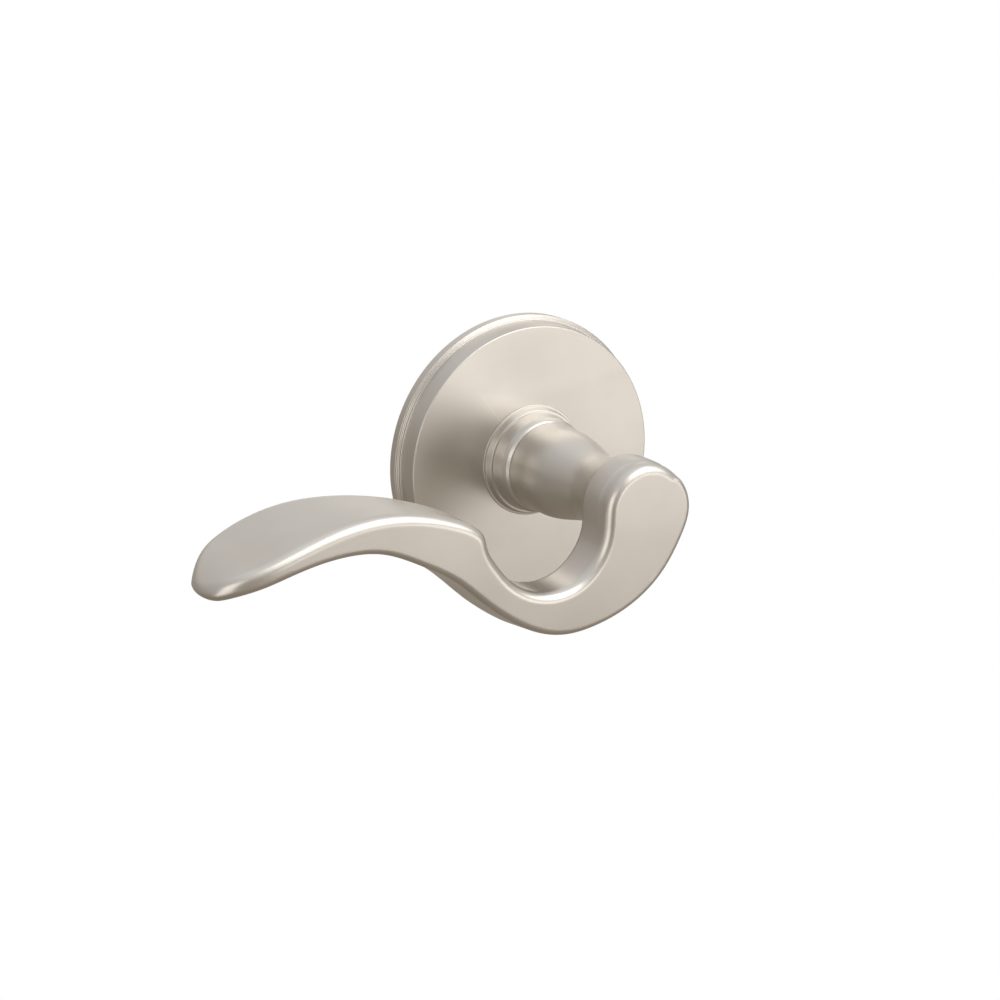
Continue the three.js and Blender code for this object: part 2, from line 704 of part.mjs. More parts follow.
const lever = new THREE.Group();
lever.add(
  named('lever_handle', leverHandle(), satinNickel()),
  named('neck_bead', neckBead(), satinNickel()),
  named('spindle', spindle(), platedSteel()),
  named('drive_plate', drivePlate(), platedSteel()),
  named('return_spring', returnSpring(), springSteel()),
  named('thrust_washer', thrustWasher(), platedSteel()),
  named('wave_washer', waveWasher(), springSteel()),
  named('retaining_ring', retainingRing(), springSteel()),
  named('set_screw', setScrew(), blackSteel()),
);

const handle = new THREE.Group();
handle.add(rose, lever);

export default handle;
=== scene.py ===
# Looks for the door lever handle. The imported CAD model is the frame, and every finer piece here
# takes its place and its main sizes from that frame's nodes. Lengths in the helpers are in mm.
import math

import bmesh
import bpy
import numpy as np
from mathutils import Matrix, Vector


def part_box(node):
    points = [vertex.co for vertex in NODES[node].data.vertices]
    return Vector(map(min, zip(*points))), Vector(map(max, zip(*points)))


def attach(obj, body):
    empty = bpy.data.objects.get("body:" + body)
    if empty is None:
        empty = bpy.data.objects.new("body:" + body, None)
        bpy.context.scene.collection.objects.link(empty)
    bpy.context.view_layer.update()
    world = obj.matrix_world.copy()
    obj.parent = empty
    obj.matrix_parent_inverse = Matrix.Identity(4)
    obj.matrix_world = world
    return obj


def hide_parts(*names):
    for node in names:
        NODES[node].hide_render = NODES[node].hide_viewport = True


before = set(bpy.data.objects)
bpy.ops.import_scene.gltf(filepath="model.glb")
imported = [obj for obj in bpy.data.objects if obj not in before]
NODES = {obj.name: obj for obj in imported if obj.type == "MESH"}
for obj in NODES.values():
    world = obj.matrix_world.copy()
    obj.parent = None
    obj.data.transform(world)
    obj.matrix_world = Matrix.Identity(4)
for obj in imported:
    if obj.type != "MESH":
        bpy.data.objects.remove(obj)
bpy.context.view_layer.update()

MM = 0.001


def node_size(name):
    """Lowest and highest corner of a CAD node in mm, as (x, out from the door, z) ranges."""
    low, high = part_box(name)
    return {
        "x": (low[0] / MM, high[0] / MM),
        "out": (-high[1] / MM, -low[1] / MM),
        "z": (low[2] / MM, high[2] / MM),
    }


# ---------------------------------------------------------------- sizes from the frame

COVER = node_size("rose_cover")
COLLAR = node_size("rose_collar")
BEAD = node_size("neck_bead")
LEVER = node_size("lever_handle")
SPINDLE = node_size("spindle")
RING = node_size("retaining_ring")
THRUST = node_size("thrust_washer")
BUSHING = node_size("neck_bushing")

# Rose
ROSE_RADIUS = COVER["x"][1]
FACE_OUT = COVER["out"][1]
PROJECTION = LEVER["out"][1]
TIP = LEVER["x"][0]
GAP = 0.3                     # clearance that the CAD pieces keep
DISH = 0.2                    # how far the cover's face sinks towards the hub
HUB_OUT = FACE_OUT - DISH

COVER_WALL = 0.7

# Collar: radii of its two leaning steps, from its mouth down to its foot
COLLAR_LEAN = 0.45            # each step narrows by this much towards its top
COLLAR_TREAD = 0.5            # ledge between the two steps
COLLAR_BORE = BUSHING["x"][1] + GAP
COLLAR_MOUTH = BEAD["x"][1]
COLLAR_UPPER = COLLAR_MOUTH + COLLAR_LEAN
COLLAR_LEDGE = COLLAR_UPPER + COLLAR_TREAD
COLLAR_LOWER = COLLAR_LEDGE + COLLAR_LEAN
COLLAR_STEP = FACE_OUT + 1.8  # how far out the ledge lies

# Lever shape
HEAD_RADIUS = 9.8
HEAD_ANGLES = range(180, 49, -13)  # places on the head's round top, in degrees from +X
HEAD_DEPTH = 10.0             # front to back, for the head and the bowl
CUSP = -38.7                  # X of the point where the bowl meets the blade
BLADE_DEPTH = 23.6            # widest part of the blade, front to back
TOP_LEAN = 0.055              # rise of the blade's top per mm towards the door
UNDER_LEAN = 0.115            # drop of the bowl's left side per mm towards the door
UPPER_FILLET = 2.0            # front edge along the top of the blade and inside the bowl
LOWER_FILLET = 1.15           # front edge along the underside
BACK_FILLET = 0.4             # back edge of the head and the bowl
BLADE_BACK_FILLET = 1.6       # back edge of the blade, and the edge all round its tip
NECK_BLEND = 1.6              # fillet between the neck and the back of the head
NECK_FOOT = BEAD["out"][1] + GAP
NECK_FOOT_EDGE = 0.3
HOLE_EDGE = 0.25
SET_SCREW_OUT = 18.0          # its place along the neck
SET_SCREW_HOLE = 2.8          # radius of its hole

# Shank behind the neck
BUSH_WALL = 1.0               # wall of the bearing between the collar and the journal
JOURNAL_STEP = 0.5            # the journal is this much larger than the tail
FLAT_DEPTH = 1.5              # cut of each of the tail's two flats
GROOVE_DEPTH = 1.2            # groove for the retaining ring
JOURNAL_RADIUS = BUSHING["x"][1] - BUSH_WALL - GAP
JOURNAL_START = COLLAR["out"][0] - GAP
TAIL_RADIUS = JOURNAL_RADIUS - JOURNAL_STEP
FLAT_OFFSET = TAIL_RADIUS - FLAT_DEPTH
GROOVE_RADIUS = TAIL_RADIUS - GROOVE_DEPTH
GROOVE_OUT = sum(RING["out"]) / 2
GROOVE_HALF = (RING["out"][1] - RING["out"][0]) / 2 + GAP
SHANK_END = LEVER["out"][0]

# Fineness of the smooth surfaces
CELL = 0.4
MAP_CELL = 0.15               # spacing of the distance maps
MAP_MARGIN = 4.0              # how far they reach past their outlines
SETTLE_ROUNDS = 4
SLOPE_STEP = 0.01             # step that a surface's slope is measured over


# ---------------------------------------------------------------- mesh helpers

def new_piece(name, vertices, faces, material, body):
    """A smooth-shaded mesh object made from positions in mm, riding on a CAD body."""
    mesh = bpy.data.meshes.new(name)
    mesh.from_pydata((np.asarray(vertices) * MM).tolist(), [], faces)
    mesh.shade_smooth()
    mesh.materials.append(material)
    piece = bpy.data.objects.new(name, mesh)
    bpy.context.scene.collection.objects.link(piece)
    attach(piece, body)
    return piece


def stands_for(piece, slot, *nodes):
    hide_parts(*nodes)
    return piece


def rounded(corners, steps=6, hold=0.12):
    """A closed outline with its corners rounded. Each corner is (a, b, radius).
    Points close to each arc's ends keep the shading of the straight sides even."""
    outline = []
    count = len(corners)
    for index, (a, b, radius) in enumerate(corners):
        here = np.array([a, b])
        before = np.array(corners[index - 1][:2])
        after = np.array(corners[(index + 1) % count][:2])
        if radius <= 0:
            outline.append(here)
            continue
        into = (here - before) / np.linalg.norm(here - before)
        away = (after - here) / np.linalg.norm(after - here)
        turn = math.acos(max(-1.0, min(1.0, float(into @ away))))
        reach = radius * math.tan(turn / 2)
        side = 1 if into[0] * away[1] - into[1] * away[0] > 0 else -1
        inward = side * np.array([-into[1], into[0]])
        start = here - into * reach
        centre = start + inward * radius
        outline.append(start - into * min(hold, radius))
        for step in range(steps + 1):
            angle = side * turn * step / steps
            arm = start - centre
            outline.append(centre + np.array([
                arm[0] * math.cos(angle) - arm[1] * math.sin(angle),
                arm[0] * math.sin(angle) + arm[1] * math.cos(angle),
            ]))
        outline.append(here + away * (reach + min(hold, radius)))
    return np.array(outline)


def turned(name, outline, material, body, segments=128, centre=(0.0, 0.0)):
    """A closed outline of (radius, out) turned round the spindle's axis, or an axis beside it."""
    outline = np.asarray(outline, float)
    area = np.sum(outline[:, 0] * np.roll(outline[:, 1], -1) - np.roll(outline[:, 0], -1) * outline[:, 1])
    if area < 0:
        outline = outline[::-1]
    count = len(outline)
    vertices = []
    for segment in range(segments):
        angle = 2 * math.pi * segment / segments
        ring = np.empty((count, 3))
        ring[:, 0] = centre[0] + outline[:, 0] * math.cos(angle)
        ring[:, 1] = -outline[:, 1]
        ring[:, 2] = centre[1] + outline[:, 0] * math.sin(angle)
        vertices.append(ring)
    faces = []
    for segment in range(segments):
        here = segment * count
        there = (segment + 1) % segments * count
        for step in range(count):
            follow = (step + 1) % count
            faces.append((here + step, here + follow, there + follow, there + step))
    piece = new_piece(name, np.concatenate(vertices), faces, material, body)
    weld(piece)
    return piece


def weld(piece, distance=1e-7):
    """Joins vertices that lie together and drops the faces that this makes flat."""
    shape = bmesh.new()
    shape.from_mesh(piece.data)
    bmesh.ops.remove_doubles(shape, verts=shape.verts, dist=distance)
    bmesh.ops.recalc_face_normals(shape, faces=shape.faces)
    shape.to_mesh(piece.data)
    shape.free()


def spline(points, per_span=8):
    """A natural cubic spline through 2D points, by distance along them."""
    points = np.asarray(points, float)
    knots = np.concatenate([[0], np.cumsum(np.linalg.norm(np.diff(points, axis=0), axis=1))])
    span = np.diff(knots)
    count = len(points)
    system = np.eye(count)
    right = np.zeros((count, 2))
    for index in range(1, count - 1):
        system[index, index - 1] = span[index - 1]
        system[index, index] = 2 * (span[index - 1] + span[index])
        system[index, index + 1] = span[index]
        right[index] = 6 * (
            (points[index + 1] - points[index]) / span[index]
            - (points[index] - points[index - 1]) / span[index - 1]
        )
    bend = np.linalg.solve(system, right)
    result = []
    for index in range(count - 1):
        for step in range(per_span):
            share = step / per_span
            rest = 1 - share
            curve = (rest ** 3 - rest) * bend[index] + (share ** 3 - share) * bend[index + 1]
            result.append(rest * points[index] + share * points[index + 1] + curve * span[index] ** 2 / 6)
    result.append(points[-1])
    return np.array(result)


def loop_distance(a, b, loop):
    """Signed distance, negative inside, from the points (a, b) to a closed loop."""
    start = np.asarray(loop)
    end = np.roll(start, -1, axis=0)
    along = end - start
    length = np.maximum((along ** 2).sum(axis=1), 1e-12)
    flat_a = np.ravel(a)
    flat_b = np.ravel(b)
    result = np.empty(flat_a.size)
    batch = 4000
    for first in range(0, flat_a.size, batch):
        part = slice(first, first + batch)
        offset_a = flat_a[part, None] - start[None, :, 0]
        offset_b = flat_b[part, None] - start[None, :, 1]
        share = np.clip((offset_a * along[:, 0] + offset_b * along[:, 1]) / length, 0, 1)
        near = (offset_a - share * along[:, 0]) ** 2 + (offset_b - share * along[:, 1]) ** 2
        above = flat_b[part, None] >= start[None, :, 1]
        above_end = flat_b[part, None] >= end[None, :, 1]
        cross = along[:, 0] * offset_b - along[:, 1] * offset_a
        crossing = (above != above_end) & ((cross > 0) == (end[:, 1] > start[:, 1]))
        inside = crossing.sum(axis=1) % 2 == 1
        result[part] = np.sqrt(near.min(axis=1)) * np.where(inside, -1, 1)
    return result.reshape(np.shape(a))


class DistanceMap:
    """Signed distance to a closed loop, worked out once on a fine grid and read between its points."""

    def __init__(self, loop):
        loop = np.asarray(loop)
        self.low = loop.min(axis=0) - MAP_MARGIN
        count = np.ceil((loop.max(axis=0) + MAP_MARGIN - self.low) / MAP_CELL).astype(int) + 1
        a, b = (self.low[axis] + MAP_CELL * np.arange(count[axis]) for axis in range(2))
        self.values = loop_distance(*np.meshgrid(a, b, indexing="ij"), loop)

    def __call__(self, a, b):
        last = np.array(self.values.shape) - 1.001
        place_a = np.clip((a - self.low[0]) / MAP_CELL, 0, last[0])
        place_b = np.clip((b - self.low[1]) / MAP_CELL, 0, last[1])
        row = place_a.astype(int)
        column = place_b.astype(int)
        across = place_a - row
        up = place_b - column
        near = self.values[row, column] * (1 - across) + self.values[row + 1, column] * across
        far = self.values[row, column + 1] * (1 - across) + self.values[row + 1, column + 1] * across
        return near * (1 - up) + far * up


def smooth_step(value, low, high):
    share = np.clip((value - low) / (high - low), 0, 1)
    return share * share * (3 - 2 * share)


def fillet_both(a, b, radius):
    """The space inside both surfaces, with a round edge where they meet."""
    corner = np.hypot(np.maximum(a + radius, 0), np.maximum(b + radius, 0))
    return np.minimum(np.maximum(a, b), -radius) + corner


def fillet_either(a, b, radius):
    """The space inside either surface, with a round fillet where they meet."""
    corner = np.hypot(np.minimum(a - radius, 0), np.minimum(b - radius, 0))
    return np.maximum(np.minimum(a, b), radius) - corner


def surface_net(field, origin):
    """One vertex in each cell that the surface passes through, and a quad across each crossed edge."""
    inside = field < 0
    count = sum(
        inside[i:inside.shape[0] - 1 + i, j:inside.shape[1] - 1 + j, k:inside.shape[2] - 1 + k].astype(int)
        for i in (0, 1) for j in (0, 1) for k in (0, 1)
    )
    active = (count > 0) & (count < 8)
    number = np.full(active.shape, -1)
    number[active] = np.arange(active.sum())
    vertices = origin + (np.argwhere(active) + 0.5) * CELL
    quads = []
    for order in ((0, 1, 2), (1, 2, 0), (2, 0, 1)):
        solid = inside.transpose(order)
        cells = number.transpose(order)
        crossed = solid[:-1, 1:-1, 1:-1] != solid[1:, 1:-1, 1:-1]
        i, j, k = np.nonzero(crossed)
        j = j + 1
        k = k + 1
        corners = [cells[i, j - 1, k - 1], cells[i, j, k - 1], cells[i, j, k], cells[i, j - 1, k]]
        quad = np.stack(corners, axis=1)
        outward = solid[i, j, k]
        quad[~outward] = quad[~outward][:, ::-1]
        quads.append(quad)
    return vertices, np.concatenate(quads)


def settle(vertices, quads, distance):
    """Evens the vertices out over the surface and moves them exactly on to it."""
    edges = np.concatenate([quads[:, [0, 1]], quads[:, [1, 2]], quads[:, [2, 3]], quads[:, [3, 0]]])
    degree = np.bincount(edges.ravel(), minlength=len(vertices))[:, None]

    def onto_surface(points):
        for _ in range(2):
            here = distance(points)
            slope = np.stack([
                (distance(points + np.eye(3)[axis] * SLOPE_STEP) - here) / SLOPE_STEP
                for axis in range(3)
            ], axis=1)
            size = np.maximum((slope ** 2).sum(axis=1), 0.05)
            move = -(here / size)[:, None] * slope
            length = np.linalg.norm(move, axis=1, keepdims=True)
            points = points + move * np.minimum(1, CELL / np.maximum(length, 1e-9))
        return points

    vertices = onto_surface(vertices)
    for _ in range(SETTLE_ROUNDS):
        total = np.zeros_like(vertices)
        np.add.at(total, edges[:, 0], vertices[edges[:, 1]])
        np.add.at(total, edges[:, 1], vertices[edges[:, 0]])
        vertices = onto_surface(0.4 * vertices + 0.6 * total / degree)
    return vertices


# ---------------------------------------------------------------- materials

def colour(red, green, blue):
    """A linear colour from an sRGB one, each part 0 to 255."""
    def linear(value):
        value = value / 255
        return value / 12.92 if value <= 0.04045 else ((value + 0.055) / 1.055) ** 2.4
    return (linear(red), linear(green), linear(blue), 1.0)


class Looks:
    """A node material with one Principled shader and short ways to add what changes over a surface."""

    def __init__(self, name):
        self.material = bpy.data.materials.new(name)
        self.material.use_nodes = True
        self.nodes = self.material.node_tree.nodes
        self.links = self.material.node_tree.links
        self.shader = self.nodes["Principled BSDF"]
        self.place = self.nodes.new("ShaderNodeTexCoord").outputs["Object"]

    def set(self, **values):
        for key, value in values.items():
            self.shader.inputs[key.replace("_", " ")].default_value = value

    def noise(self, scale, detail=3.0, stretch=(1, 1, 1), distortion=0.0):
        spread = self.nodes.new("ShaderNodeMapping")
        spread.inputs["Scale"].default_value = stretch
        texture = self.nodes.new("ShaderNodeTexNoise")
        texture.inputs["Scale"].default_value = scale
        texture.inputs["Detail"].default_value = detail
        texture.inputs["Distortion"].default_value = distortion
        self.links.new(self.place, spread.inputs["Vector"])
        self.links.new(spread.outputs["Vector"], texture.inputs["Vector"])
        return texture.outputs["Fac"]

    def between(self, factor, low, high, from_low=0.3, from_high=0.7):
        """Stretches a factor, by default the middle range of a noise, over low to high."""
        scale = self.nodes.new("ShaderNodeMapRange")
        scale.inputs["From Min"].default_value = from_low
        scale.inputs["From Max"].default_value = from_high
        scale.inputs["To Min"].default_value = low
        scale.inputs["To Max"].default_value = high
        self.links.new(factor, scale.inputs["Value"])
        return scale.outputs["Result"]

    def mix(self, factor, first, second):
        blend = self.nodes.new("ShaderNodeMix")
        blend.data_type = "RGBA"
        for socket, value in ((blend.inputs[6], first), (blend.inputs[7], second)):
            if isinstance(value, tuple):
                socket.default_value = value
            else:
                self.links.new(value, socket)
        self.links.new(factor, blend.inputs[0])
        return blend.outputs[2]

    def edges(self, low=0.5, high=0.56):
        """1 on outer edges sharper than the high limit, 0 on flat and hollow places."""
        geometry = self.nodes.new("ShaderNodeNewGeometry")
        return self.between(geometry.outputs["Pointiness"], 0.0, 1.0, low, high)

    def bump(self, height, depth, under=None):
        """A bump of a depth in metres, on top of another bump if one is given."""
        node = self.nodes.new("ShaderNodeBump")
        node.inputs["Strength"].default_value = 1.0
        node.inputs["Distance"].default_value = depth
        self.links.new(height, node.inputs["Height"])
        if under is not None:
            self.links.new(under, node.inputs["Normal"])
        return node.outputs["Normal"]

    def link(self, socket, value):
        self.links.new(value, self.shader.inputs[socket])


def satin_nickel():
    """Fine satin nickel: cloudy tone, smudges along the height, a fine grain and polished edges."""
    looks = Looks("satin_nickel")
    looks.set(Metallic=1.0)
    cloud = looks.noise(55, detail=4)
    tone = looks.mix(looks.between(cloud, 0, 1), colour(209, 204, 197), colour(215, 211, 205))
    worn = looks.mix(looks.edges(0.53, 0.62), tone, colour(218, 214, 208))
    looks.link("Base Color", worn)
    smudge = looks.noise(26, detail=3, stretch=(1, 1, 3.2), distortion=0.6)
    looks.link("Roughness", looks.between(smudge, 0.30, 0.36))
    grain = looks.noise(2600, detail=2)
    waves = looks.noise(70, detail=2)
    soft = looks.bump(waves, 0.00002)
    looks.link("Normal", looks.bump(grain, 0.000002, under=soft))
    return looks.material


def plain_metal(name, dark, light, rough, grain_scale, grain_depth, stretch=(1, 1, 1)):
    """Metal of a tone between two colours, with blotches, grain and edges worn bright."""
    wear = 1.25
    looks = Looks(name)
    looks.set(Metallic=1.0)
    cloud = looks.noise(120, detail=5)
    tone = looks.mix(looks.between(cloud, 0, 1), dark, light)
    bright = tuple(min(1.0, wear * part) for part in light[:3]) + (1.0,)
    looks.link("Base Color", looks.mix(looks.edges(), tone, bright))
    blotch = looks.noise(260, detail=4)
    looks.link("Roughness", looks.between(blotch, rough[0], rough[1]))
    grain = looks.noise(grain_scale, detail=4, stretch=stretch)
    looks.link("Normal", looks.bump(grain, grain_depth))
    return looks.material


def nylon():
    looks = Looks("nylon")
    cloud = looks.noise(180, detail=3)
    tone = looks.mix(looks.between(cloud, 0, 1), colour(228, 223, 208), colour(238, 235, 224))
    looks.link("Base Color", tone)
    looks.link("Roughness", looks.between(looks.noise(700), 0.42, 0.56))
    looks.link("Normal", looks.bump(looks.noise(1500), 0.000008))
    looks.set(Subsurface_Weight=0.08)
    return looks.material


NICKEL = satin_nickel()
ZINC = plain_metal(
    "zinc_casting", colour(128, 130, 133), colour(158, 160, 162),
    rough=(0.48, 0.62), grain_scale=1400, grain_depth=0.00002,
)
PLATED = plain_metal(
    "plated_steel", colour(170, 172, 168), colour(196, 198, 192),
    rough=(0.24, 0.36), grain_scale=420, grain_depth=0.000006, stretch=(1, 1, 14),
)
SPRING = plain_metal(
    "spring_steel", colour(96, 98, 102), colour(128, 130, 134),
    rough=(0.26, 0.38), grain_scale=1100, grain_depth=0.000005,
)
BLACK = plain_metal(
    "black_steel", colour(34, 35, 37), colour(52, 53, 56),
    rough=(0.38, 0.5), grain_scale=1300, grain_depth=0.000008,
)
NYLON = nylon()


# ---------------------------------------------------------------- rose

def rose_cover():
    """Pressed cover: straight rim, ribbed ledge, riser and a face with a hole for the collar."""
    hole = COLLAR_LOWER + GAP
    rim = 1.95
    ledge = rim + 0.6
    ledge_fall = 0.25
    ribs = 2
    rib_steps = 12
    rib_height = 0.035
    riser = ROSE_RADIUS - 1.2
    face = riser - 0.5
    inside = ROSE_RADIUS - COVER_WALL
    rib_start = riser + 0.3
    rib_width = ROSE_RADIUS - 0.3 - rib_start
    skin = [(hole, HUB_OUT, 0.15), (face, FACE_OUT, 0.3), (riser, ledge, 0.25)]
    for step in range(1, rib_steps):
        share = step / rib_steps
        height = rib_height * math.sin(2 * math.pi * ribs * share) - ledge_fall * share
        skin.append((rib_start + rib_width * share, ledge + height, 0))
    skin += [
        (ROSE_RADIUS, ledge - ledge_fall - 0.1, 0.2),
        (ROSE_RADIUS, 0, 0.15),
        (inside, 0, 0.15),
        (inside, rim - 0.4, 0.2),
        (riser - COVER_WALL, rim - 0.4, 0.2),
        (face - COVER_WALL, FACE_OUT - COVER_WALL, 0.3),
        (hole, HUB_OUT - COVER_WALL, 0.15),
    ]
    piece = turned("rose_cover_shell", rounded(skin, hold=0.05), NICKEL, "rose", segments=192)
    return stands_for(piece, "satin_nickel", "rose_cover")


def rose_collar():
    """Fixed ring with two leaning steps, a thin lip on the cover and a flange below it."""
    base, top = COLLAR["out"]
    flange_out = base + 0.5
    flange = COLLAR_LOWER + 2.0
    lip = COLLAR_LOWER + 0.5
    outline = [
        (COLLAR_BORE, base, 0.1),
        (flange, base, 0.1),
        (flange, flange_out, 0.1),
        (COLLAR_LOWER, flange_out, 0.1),
        (COLLAR_LOWER, HUB_OUT + 0.03, 0.05),
        (lip, HUB_OUT + 0.03, 0.05),
        (lip - 0.05, HUB_OUT + 0.28, 0.15),
        (COLLAR_LOWER - 0.06, HUB_OUT + 0.34, 0.1),
        (COLLAR_LEDGE + 0.04, COLLAR_STEP, 0.2),
        (COLLAR_UPPER - 0.04, COLLAR_STEP + 0.04, 0.06),
        (COLLAR_MOUTH, top, 0.15),
        (COLLAR_BORE, top, 0.15),
    ]
    piece = turned("rose_collar_steps", rounded(outline, hold=0.04), NICKEL, "rose", segments=160)
    return stands_for(piece, "satin_nickel", "rose_collar")


def neck_bead():
    """Ring at the foot of the neck, with a crisp lower edge and a long rounding towards the neck."""
    low = BEAD["out"][0] - GAP + 0.06
    high = BEAD["out"][1] + 0.05
    outer = COLLAR_MOUTH + 0.06
    inner = COLLAR_MOUTH - 2.1
    outline = [
        (inner, low, 0.1),
        (outer, low, 0.12),
        (outer, low + 0.42, 0.22),
        (COLLAR_MOUTH - 0.38, high - 0.55, 1.2),
        (COLLAR_MOUTH - 0.95, high, 0.2),
        (inner, high, 0.1),
    ]
    piece = turned("neck_bead_ring", rounded(outline), NICKEL, "lever", segments=160)
    return stands_for(piece, "satin_nickel", "neck_bead")


# ---------------------------------------------------------------- lever

def blade_x(share):
    """X at a share of the way from the cusp to the tip."""
    return CUSP + share * (TIP - CUSP)


def upper_line(depth):
    """Top of the blade, cusp, inside of the bowl and head, in X and Z, at a depth from the front."""
    blade_top = [
        (blade_x(0.985), -2.6), (blade_x(0.945), -1.0), (blade_x(0.825), 1.75), (blade_x(0.68), 4.6),
        (blade_x(0.54), 6.9), (blade_x(0.385), 7.9), (blade_x(0.245), 7.1), (blade_x(0.1), 4.6),
        (CUSP - 0.7, 1.7),
    ]
    lean_length = 34
    lifted = [
        (x, z + TOP_LEAN * depth * (1 - smooth_step(x, CUSP - lean_length, CUSP)))
        for x, z in blade_top
    ]
    bowl_inside = [
        (CUSP + 0.3, 0.5), (-37.6, -2.2), (-35.6, -5.9), (-32.2, -10.0), (-27.5, -13.0), (-22.2, -14.1),
        (-17.2, -13.1), (-13.0, -9.9), (-10.8, -6.4), (-HEAD_RADIUS - 0.15, -2.8),
    ]
    head = [
        (HEAD_RADIUS * math.cos(math.radians(angle)), HEAD_RADIUS * math.sin(math.radians(angle)))
        for angle in HEAD_ANGLES
    ]
    return lifted + bowl_inside + head


def lower_line(depth):
    """From the head round under the bowl and the blade to the tip, at a depth from the front.
    Towards the door it drops between the middle of the blade and the bottom of the bowl."""
    outside = [
        (8.6, 5.2), (10.3, 1.8), (10.6, -1.3), (8.6, -7.1), (3.8, -14.3), (-3.4, -19.8),
        (-12.0, -22.9), (-19.6, -23.55), (-26.2, -21.9), (-32.2, -18.6), (-38.9, -13.5),
    ]
    blade_under = [
        (blade_x(0.12), -7.6), (blade_x(0.245), -3.3), (blade_x(0.385), 0.3), (blade_x(0.54), 1.0),
        (blade_x(0.68), -0.3), (blade_x(0.825), -2.65), (blade_x(0.93), -4.3), (blade_x(0.98), -4.6),
    ]
    tip = [(blade_x(1.0), -3.6)]
    bowl_bottom = -20
    dropped = []
    for x, z in outside + blade_under:
        past_bowl = smooth_step(x, bowl_bottom - 4, bowl_bottom + 10)
        share = smooth_step(x, CUSP - 18, CUSP + 4) * (1 - past_bowl)
        dropped.append((x, z - UNDER_LEAN * depth * share))
    return dropped + tip


def front_outline(depth):
    """The lever seen from the front, as one smooth closed line, at a depth from its front face."""
    upper = upper_line(depth)
    return spline(upper + lower_line(depth) + upper[:1])


def top_outline():
    """The lever seen from above, in X and out from the door: one smooth line round the blade,
    closed by straight sides past the head. The blade's points are shares of its length and depth."""
    end = 3 * HEAD_RADIUS
    behind = [
        (0.72, 0.0), (0.86, 0.03), (0.95, 0.14), (1.0, 0.38), (0.95, 0.69), (0.87, 0.89), (0.72, 1.0),
        (0.57, 0.93), (0.41, 0.76), (0.245, 0.61), (0.1, 0.5), (-0.05, 0.437),
    ]
    blade = [(blade_x(share), PROJECTION - BLADE_DEPTH * depth) for share, depth in behind]
    back = PROJECTION - HEAD_DEPTH
    lead_in = [(blade_x(0.5), PROJECTION)]
    lead_out = [(blade_x(-0.16), back), (blade_x(-0.3), back)]
    line = spline(lead_in + blade + lead_out)
    return np.concatenate([[(end, back), (end, PROJECTION), (0.0, PROJECTION)], line])


def neck_radius(out):
    """Radius of the neck at a distance out from the door."""
    length = PROJECTION - HEAD_DEPTH - NECK_FOOT
    shares = [0, 0.1, 0.21, 0.31, 0.41, 0.51, 0.61, 0.7, 0.8, 0.91, 1.0, 1.3]
    radii = [10.1, 9.85, 9.8, 9.5, 8.9, 8.2, 7.65, 7.45, 7.75, 8.3, 8.9, 8.9]
    line = spline([(share * length, radius) for share, radius in zip(shares, radii)])
    return np.interp(out - NECK_FOOT, line[:, 0], line[:, 1])


FRONT = DistanceMap(front_outline(0))
BEHIND = DistanceMap(front_outline(HEAD_DEPTH))
ABOVE = DistanceMap(top_outline())
UNDER_LINE = spline(lower_line(0))
UNDER = DistanceMap(np.concatenate([UNDER_LINE, UNDER_LINE[::-1]]))


def edge_radius(x, out, from_upper, from_under):
    """Fillet at each point: larger on the upper front edge than on the lower one, small behind
    the bowl, and one size all round the tip."""
    upper = smooth_step(from_under - from_upper, 0.2, 1.6)
    front = LOWER_FILLET + (UPPER_FILLET - LOWER_FILLET) * upper
    blade = 1 - smooth_step(x, CUSP - 20, CUSP + 3)
    back = BACK_FILLET + (BLADE_BACK_FILLET - BACK_FILLET) * blade
    radius = np.where(out > PROJECTION - HEAD_DEPTH / 2, front, back)
    tip = 1 - smooth_step(x, TIP + 4, TIP + 22)
    return radius * (1 - tip) + BLADE_BACK_FILLET * tip


def lever_distance(points):
    """Signed distance to the lever's surface, negative inside. Points are (x, out, z) in mm."""
    x = points[..., 0]
    out = points[..., 1]
    z = points[..., 2]
    depth = np.clip(PROJECTION - out, 0, BLADE_DEPTH)
    at_front = FRONT(x, z)
    outline = at_front + (BEHIND(x, z) - at_front) * depth / HEAD_DEPTH
    radius = edge_radius(x, out, np.abs(at_front), np.abs(UNDER(x, z)))
    arm = fillet_both(outline, ABOVE(x, out), radius)
    neck = fillet_both(np.hypot(x, z) - neck_radius(out), NECK_FOOT - out, NECK_FOOT_EDGE)
    neck = np.maximum(neck, out - (PROJECTION - HEAD_DEPTH / 2))
    whole = fillet_either(arm, neck, NECK_BLEND)
    screw_hole = np.maximum(np.hypot(x, out - SET_SCREW_OUT) - SET_SCREW_HOLE, z + HEAD_RADIUS / 2)
    return fillet_both(whole, -screw_hole, HOLE_EDGE)


def shank_distance(points):
    """Signed distance to the shank behind the neck: a tail with two flats and a groove for the
    retaining ring, a round journal and a square hole for the spindle."""
    overlap = 1               # how far the tail runs into the journal, and the journal into the neck
    x = points[..., 0]
    out = points[..., 1]
    z = points[..., 2]
    reach = np.hypot(x, z)
    tail = fillet_both(reach - TAIL_RADIUS, np.abs(x) - FLAT_OFFSET, 0.15)
    tail = fillet_both(tail, SHANK_END - out, 0.4)
    groove = np.maximum(np.abs(out - GROOVE_OUT) - GROOVE_HALF, GROOVE_RADIUS - reach)
    tail = np.maximum(tail, np.maximum(out - JOURNAL_START - overlap, -groove))
    journal = fillet_both(reach - JOURNAL_RADIUS, JOURNAL_START - out, 0.25)
    journal = np.maximum(journal, out - NECK_FOOT - overlap)
    half = SPINDLE["x"][1] + GAP
    hole = np.maximum(np.maximum(np.abs(x), np.abs(z)) - half, out - SPINDLE["out"][1] - GAP)
    return fillet_both(np.minimum(tail, journal), -hole, 0.2)


